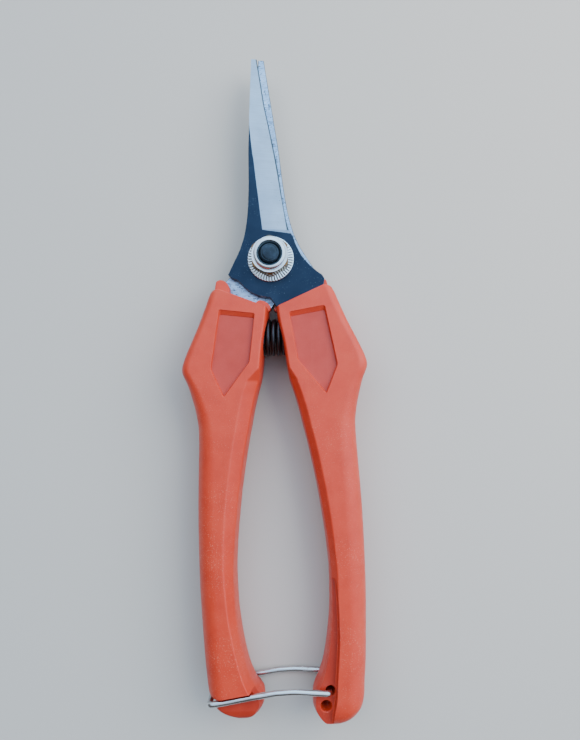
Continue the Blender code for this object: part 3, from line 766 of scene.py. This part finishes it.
# ---- blades -----------------------------------------------------------------
Z0, Z1 = 0.1, 2.3
LAND = 0.35
MICRO = 0.32
TURN = 3.5
SPINE = [(-3.7, 61.3), (-4.1, 54.5), (-4.4, 49.3), (-4.9, 40.7), (-5.4, 32.0),
         (-5.6, 23.6), (-6.1, 15.2), (-7.0, 9.0), (-8.6, 3.7), (-10.3, 0.2)]
EDGE = [(-2.1, 61.5), (-1.2, 54.5), (-0.4, 47.5), (1.4, 37.0), (3.0, 26.5),
        (4.4, 14.2), (5.2, 10.0)]
NECKLINE = [(6.3, 7.3), (7.6, 3.4), (8.7, 1.1), (10.0, -0.8), (12.5, -3.5),
            (14.5, -5.1), (15.1, -6.2), (14.8, -8.1)]
TANG = [(15.4, -12.0), (16.2, -18.0), (16.5, -24.0), (16.0, -30.0),
        (14.9, -38.0), (14.3, -46.0), (13.4, -50.0), (11.9, -50.0),
        (10.8, -46.0), (9.7, -38.0), (8.5, -30.0), (7.7, -24.0), (7.6, -16.4),
        (2.3, -15.3)]
THROAT = [(1.5, -14.1), (0.6, -12.9), (-0.2, -11.6)]
HEEL = [(-8.5, -7.0), (-9.8, -5.6), (-11.5, -5.0), (-12.4, -3.9)]


def lerp_x(table, y):
    rows = sorted(table, key=lambda p: p[1])
    return float(np.interp(y, [r[1] for r in rows], [r[0] for r in rows]))


def blade_outline(turn):
    spine = smooth_path(SPINE[::-1], 1.6)
    edge = smooth_path(EDGE + NECKLINE[:6], 1.6) + NECKLINE[6:]
    back = THROAT + arc2(11.05, 266.0, 222.0, 22) + HEEL
    back = back + spine
    return turn2(edge, -turn) + TANG + turn2(back, -turn)


def grind_left(y):
    """Left limit of the ground face: a straight line, then the spine."""
    if y <= 40.5:
        return -2.2 - 2.7 * (y - 10.0) / 30.5
    return lerp_x(SPINE, min(y, 61.4))


def blade_mesh(turn):
    outline = blade_outline(turn)
    rim = 0.14
    me = stack([(grow(outline, -rim), Z0), (outline, Z0 + rim),
                (outline, Z1 - rim), (grow(outline, -rim), Z1)])
    rings = []
    for i, y in enumerate([7.1, 9.0, 12.0, 20.0, 30.0, 40.5, 44.0, 47.5, 54.5,
                           61.5, 64.0]):
        ye = min(max(y, 9.0), 61.4)
        xe, xl = lerp_x(EDGE, ye), grind_left(max(y, 9.0))
        zl = Z1 if y <= 40.5 else Z1 - 1.3 * (min(y, 61.5) - 40.5) / 21.0
        ze = Z0 + LAND
        slope = (zl - ze) / (xe - xl)
        xa, za = xl - 1.0, zl + slope
        xb, zb = xe + 3.0, ze - slope * 3.0
        ya = y
        if i == 0:                 # the grind runs out up to the flat face
            ya, zb = 8.75, Z1 + 0.02
            y = 6.9
        # a narrow steeper facet runs along the cutting edge itself
        xk, zk = xe - MICRO, ze + slope * MICRO
        xm, zm = xb, zk - 0.75 * (xb - xk)
        if i == 0:
            xk, zk = xe, za + (zb - za) * (xe - xa) / (xb - xa)
            zm = zb
        yk = ya + (y - ya) * (xk - xa) / (xb - xa)
        ring = [(xa, ya, za), (xk, yk, zk), (xm, y, zm), (xb + 0.2, y, 5.5),
                (xa, ya, 5.5)]
        c, s = math.cos(math.radians(-turn)), math.sin(math.radians(-turn))
        rings.append([(px * c - py * s, px * s + py * c, z)
                      for px, py, z in ring])
    bore = turned([(0.0, 4.0), (3.05, 4.0), (3.05, -1.0), (0.0, -1.0)], 64)
    out = booleans(me, [(loft(rings), 'DIFFERENCE'), (bore, 'DIFFERENCE')])
    # slots: 0 coating, 1 ground, 2 bare, 3 rim, 4 cutting-edge facet with a
    # dark line painted as shade
    c, s = math.cos(math.radians(turn)), math.sin(math.radians(turn))
    for poly in out.polygons:
        x, y, z = poly.center
        xr, yr = x * c - y * s, x * s + y * c
        nz = poly.normal.z
        xe = lerp_x(EDGE, min(max(yr, 10.0), 61.4))
        if nz < -0.98:
            poly.material_index = 2
        elif 0.6 < nz < 0.9 and yr > 9.5 and xr > xe - MICRO - 0.15:
            poly.material_index = 4
        elif nz > 0.2 and z < Z1 - 1e-3 and yr > 6.9 and \
                xr > grind_left(max(yr, 9.0)) - 0.12 and \
                not (yr < 40.0 and xr < -2.0 and nz < 0.9):
            poly.material_index = 1
        elif abs(nz) < 0.98 and abs(nz) > 0.3:
            poly.material_index = 3
        elif abs(nz) <= 0.3 and yr > 12.0 and z < 1.2 and xr > -3.0:
            poly.material_index = 1
        else:
            poly.material_index = 0
    return out, outline


def keep_indices(me, mats):
    """material_index survives materials.clear() only if it is put back."""
    idx = [p.material_index for p in me.polygons]
    me.materials.clear()
    for mat in mats:
        me.materials.append(mat)
    for p, i in zip(me.polygons, idx):
        p.material_index = i
    return idx


up_me, up_outline = blade_mesh(0.0)
lo_me, lo_outline = blade_mesh(TURN)
blade_mats = [m_coat, m_ground_painted_sky, m_bare_painted_sky, m_edge, m_edge_painted_shade]
for name, me, body, flip in (("upper_blade_visual", up_me, "right_half", False),
                             ("lower_blade_visual", lo_me, "left_half", True)):
    idx = [p.material_index for p in me.polygons]
    ob = piece(name, me, body, (name[:-7],), blade_mats, flip,
               sharp=16.0)
    for p, i in zip(ob.data.polygons, idx):
        p.material_index = i

for name, me, body, flip, mat in (
        ("right_handle_visual",
         handle_mesh(LATCH_END, up_outline, turn2(STOP_TAB, TURN), False),
         "right_half", False, m_right),
        ("left_handle_visual",
         handle_mesh(HOOK_END, lo_outline, LEFT_TAB, True),
         "left_half", True, m_left)):
    # slot 1 for the panel floors; slot 2 is painted shade on the right handle's
    # recess floor and on the left handle's hook end below the shoulder
    idx = [1 if (abs(abs(p.center.z) - (HALF - 1.0)) < 0.06
                 and abs(p.normal.z) > 0.9 and -39.5 < p.center.y < -15.0
                 and 4.0 < p.center.x < 18.0)
           else 2 if (not flip and abs(abs(p.center.z) - 5.0) < 0.06
                      and abs(p.normal.z) > 0.9
                      and -125.0 < p.center.y < -88.0)
           else 2 if (flip and 3.0 < abs(p.center.z) < 5.45
                      and p.center.y < -115.5 - 0.151 * p.center.x)
           else 0 for p in me.polygons]
    ob = piece(name, me, body, (name[:-7],),
               [mat, m_panel, m_painted_shade], flip, sharp=24.0)
    for p, i in zip(ob.data.polygons, idx):
        p.material_index = i

# ---- pivot stack ------------------------------------------------------------
bolt = turned([(0.0, 9.18), (1.5, 9.18), (1.95, 9.12), (2.1, 9.02),
               (2.25, 9.05), (2.48, 8.96), (2.62, 8.80), (2.80, 8.45),
               (2.85, 8.3), (2.85, -2.6), (5.70, -2.6), (5.95, -2.68),
               (6.1, -2.95), (6.08, -3.3), (5.8, -4.0), (5.3, -4.55),
               (4.6, -4.95), (3.6, -5.3), (2.6, -5.52), (1.3, -5.66),
               (0.0, -5.7)], 96)
bm = bmesh.new()
bmesh.ops.create_cube(bm, size=1.0, matrix=Matrix.Diagonal((6.0, 6.0, 2.5, 1)))
bmesh.ops.bevel(bm, geom=[e for e in bm.edges
                          if abs(e.verts[0].co.z - e.verts[1].co.z) > 1],
                offset=0.25, segments=2, affect='EDGES')
bmesh.ops.translate(bm, verts=bm.verts, vec=(0, 0, -1.65))
bmesh.ops.rotate(bm, verts=bm.verts,
                 matrix=Matrix.Rotation(math.radians(-20.0), 3, 'Z'))
bolt = booleans(bolt, [(mesh_of(bm), 'UNION')])
piece("pivot_bolt_visual", bolt, "left_half", ("pivot_bolt",),
      [m_black], sharp=28.0)

# washer with radial ribs pressed into its sloping top
N = 48 * 6
prof = [(3.2, 2.6), (3.2, 3.20), (3.25, 3.25), (4.7, 3.25), (4.95, 3.24),
        (5.3, 3.18), (5.8, 3.10), (6.20, 3.02), (6.38, 2.98), (6.50, 2.93),
        (6.58, 2.86), (6.6, 2.76), (6.58, 2.68), (6.50, 2.6)]
bm = bmesh.new()
cols = []
for i in range(N):
    a = 2 * math.pi * i / N
    ph = (i % 6) / 6.0
    dip = 0.13 * max(0.0, math.cos(2 * math.pi * ph)) ** 0.7
    ring = []
    for r, z in prof:
        w = 1.0 if 4.95 <= r <= 6.25 and z > 3.0 else 0.0
        if r in (6.38,):
            w = 0.5
        ring.append(bm.verts.new((r * math.cos(a), r * math.sin(a),
                                  z - dip * w)))
    cols.append(ring)
for i in range(N):
    a, b = cols[i], cols[(i + 1) % N]
    for j in range(len(prof)):
        jj = (j + 1) % len(prof)
        bm.faces.new((a[j], a[jj], b[jj], b[j]))
washer = mesh_of(bm)
# slot 1: painted shade in the rib grooves
idx = [1 if (p.center.z > 2.7 and 4.95 < math.hypot(p.center.x, p.center.y)
             < 6.36 and (math.degrees(math.atan2(p.center.y, p.center.x))
                         / 7.5 + 0.12) % 1.0 < 0.30) else 0
       for p in washer.polygons]
ob = piece("ribbed_washer_visual", washer, "left_half",
           ("ribbed_washer",), [m_washer, m_groove_painted_shade], sharp=40.0,
           weighted=False)
for p, i in zip(ob.data.polygons, idx):
    p.material_index = i

# lock nut: chamfered hexagon with a rolled collar round the insert
N0, N1 = 3.5, 8.9
bm = bmesh.new()
bmesh.ops.create_cone(bm, cap_ends=True, segments=6,
                      radius1=10.0 / math.sqrt(3.0),
                      radius2=10.0 / math.sqrt(3.0), depth=4.0,
                      matrix=Matrix.Translation((0, 0, N0 + 2.0)))
bmesh.ops.bevel(bm, geom=[e for e in bm.edges
                          if abs(e.verts[0].co.z - e.verts[1].co.z) > 1],
                offset=0.18, segments=2, affect='EDGES')
chamfer = turned([(0.0, N0 + 4.6), (4.3, N0 + 4.6), (5.0, N0 + 4.08),
                  (5.62, N0 + 3.35), (5.72, N0 + 2.0), (5.62, N0 + 0.6),
                  (5.2, N0 + 0.05), (4.9, N0 - 0.1), (0.0, N0 - 0.1)], 120)
collar = turned([(0.0, N1), (3.90, N1), (4.15, N1 - 0.05), (4.32, N1 - 0.17),
                 (4.43, N1 - 0.38), (4.48, N1 - 0.75), (4.5, N0 + 3.95),
                 (4.62, N0 + 4.02), (4.3, N0 + 3.2), (0.0, N0 + 3.2)], 120)
bore = turned([(0.0, N1 + 1), (3.72, N1 + 1), (3.62, N1 - 0.02),
               (3.50, N1 - 0.14), (3.50, N1 - 0.28), (4.0, N1 - 0.34),
               (4.0, N1 - 1.75), (3.05, N1 - 1.8), (3.05, N0 + 0.4),
               (3.4, N0 - 0.1), (3.4, N0 - 1.0), (0.0, N0 - 1.0)], 120)
nut = booleans(mesh_of(bm), [(chamfer, 'INTERSECT'), (collar, 'UNION'),
                             (bore, 'DIFFERENCE')])
# slot 1: painted reflection on the flanks and chamfer rim, painted shade in the
# collar's root
idx = []
for p in nut.polygons:
    r = math.hypot(p.center.x, p.center.y)
    flank = abs(p.normal.z) < 0.45 and r > 4.2
    rim = r > 5.02 and p.normal.z < 0.97
    root = 4.46 < r < 4.66 and p.center.z > N0 + 3.6
    idx.append(1 if p.center.z < N0 + 4.02 and (flank or rim or root) else 0)
ob = piece("lock_nut_visual", nut, "left_half", ("lock_nut",),
           [m_zinc, m_nut_painted_light], sharp=24.0)
for p, i in zip(ob.data.polygons, idx):
    p.material_index = i

nyl = turned([(3.93, N1 - 0.50), (3.93, N1 - 1.5), (3.0, N1 - 1.5),
              (3.0, N1 - 0.62), (3.12, N1 - 0.48), (3.3, N1 - 0.42),
              (3.75, N1 - 0.42)], 96)
piece("nylon_insert_visual", nyl, "left_half", ("nylon_insert",),
      [m_nylon], sharp=35.0)


# ---- wires ------------------------------------------------------------------
def tube(points, radius, sides, round_ends=0.35):
    """Swept circle along a dense path, with softened ends."""
    p = [Vector(q) for q in points]
    n = len(p)
    tan = [(p[min(i + 1, n - 1)] - p[max(i - 1, 0)]).normalized()
           for i in range(n)]
    ref = tan[0].orthogonal().normalized()
    rings = []
    e = round_ends * radius
    spec = [(0, -0.0, radius - e), (0, e * 0.6, radius - e * 0.25)]
    body = [(i, 0.0, radius) for i in range(1, n - 1)]
    spec += body + [(n - 1, -e * 0.6, radius - e * 0.25),
                    (n - 1, 0.0, radius - e)]
    for i, shift, r in spec:
        ref = (ref - tan[i] * ref.dot(tan[i])).normalized()
        side = tan[i].cross(ref)
        c = p[i] + tan[i] * shift
        rings.append([c + (ref * math.cos(2 * math.pi * k / sides)
                           + side * math.sin(2 * math.pi * k / sides)) * r
                      for k in range(sides)])
    return loft(rings)


pts = []
turns, half_l, coil_r = 8, 5.45, 4.7
n = turns * 40
for i in range(n + 1):
    t = i / n
    w = t - 0.018 * math.sin(2.0 * math.pi * t)
    a = 2.0 * math.pi * turns * t
    pts.append((-half_l + 2.0 * half_l * w, SPRING_Y + coil_r * math.sin(a),
                coil_r * math.cos(a)))
spring = piece("return_spring_visual", tube(pts, 0.6, 12), "left_half",
               ("return_spring",), [m_spring], sharp=50.0,
               weighted=False, body_b="right_half")
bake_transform(spring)

ARM = [LATCH, (2.1, -116.8), (-2.7, -117.0), (-9.2, -117.9), (-16.4, -119.05),
       (-20.3, -119.55)]


def filleted(points, radius, n_=7):
    p = [Vector(q) for q in points]
    out = [p[0]]
    for p0, p1, p2 in zip(p, p[1:], p[2:]):
        d0, d1 = (p0 - p1).normalized(), (p2 - p1).normalized()
        half = d0.angle(d1) / 2.0
        rad = radius if math.degrees(half) < 80.0 else 12.0
        back = min(rad / math.tan(half), (p0 - p1).length * 0.45,
                   (p2 - p1).length * 0.45)
        a, b = p1 + d0 * back, p1 + d1 * back
        for i in range(n_ + 1):
            t = i / n_
            out.append(a * (1 - t) ** 2 + p1 * 2 * t * (1 - t) + b * t * t)
    out.append(p[-1])
    return out


def dense(points, step=0.6):
    out = [points[0]]
    for a, b in zip(points, points[1:]):
        k = max(1, int((b - a).length / step))
        out += [a.lerp(b, (i + 1) / k) for i in range(k)]
    return out


zl = 6.4
path = ([(LATCH[0], LATCH[1], 3.4)] + [(x, y, zl) for x, y in ARM]
        + [(x, y, -zl) for x, y in reversed(ARM)]
        + [(LATCH[0], LATCH[1], -3.4)])
piece("latch_wire_visual", tube(dense(filleted(path, 1.1)), 0.75, 20), "latch",
      ("latch_wire",), [m_latch], sharp=50.0, weighted=False)

# ---- floor, light -----------------------------------------------------------
me = bpy.data.meshes.new("floor")
me.from_pydata([(-1.5, -1.5, -0.0002), (1.5, -1.5, -0.0002),
                (1.5, 1.5, -0.0002), (-1.5, 1.5, -0.0002)], [],
               [(0, 1, 2, 3)])
fm = bpy.data.materials.new("floor")
fm.use_nodes = True
fb = fm.node_tree.nodes["Principled BSDF"]
fb.inputs["Base Color"].default_value = (0.52, 0.50, 0.47, 1.0)
fb.inputs["Roughness"].default_value = 0.9
fb.inputs["Specular IOR Level"].default_value = 0.2
me.materials.append(fm)
floor = bpy.data.objects.new("floor", me)
bpy.context.scene.collection.objects.link(floor)

world = bpy.data.worlds.new("world")
bpy.context.scene.world = world
world.use_nodes = True
wt = world.node_tree
bg = wt.nodes["Background"]
tc = wt.nodes.new("ShaderNodeTexCoord")
dot = wt.nodes.new("ShaderNodeVectorMath")
dot.operation = 'DOT_PRODUCT'
dot.inputs[1].default_value = (0.55, 0.75, 0.36)
rmp = wt.nodes.new("ShaderNodeValToRGB")
wt.links.new(tc.outputs["Generated"], dot.inputs[0])
wt.links.new(dot.outputs["Value"], rmp.inputs[0])
wt.links.new(rmp.outputs[0], bg.inputs[0])
el = rmp.color_ramp.elements
el[0].position, el[0].color = 0.0, (0.075, 0.068, 0.066, 1)
el[1].position, el[1].color = 0.74, (0.66, 0.95, 1.22, 1)
e2 = el.new(0.45)
e2.color = (0.46, 0.62, 0.86, 1)
e3 = el.new(0.14)
e3.color = (0.36, 0.41, 0.48, 1)
bg.inputs[1].default_value = 2.15


def area(name, loc, size, energy, color):
    ld = bpy.data.lights.new(name, 'AREA')
    ld.shape = 'SQUARE'
    ld.energy = energy
    ld.size = size
    ld.color = color
    lo = bpy.data.objects.new(name, ld)
    bpy.context.scene.collection.objects.link(lo)
    lo.location = loc
    lo.rotation_euler = Vector(loc).to_track_quat('Z', 'Y').to_euler()
    lo.visible_glossy = False


area("key", (0.30, 0.13, 0.29), 0.36, 2.25, (1.0, 0.92, 0.84))
area("fill", (-0.35, 0.30, 0.60), 0.50, 1.9, (0.95, 0.97, 1.0))
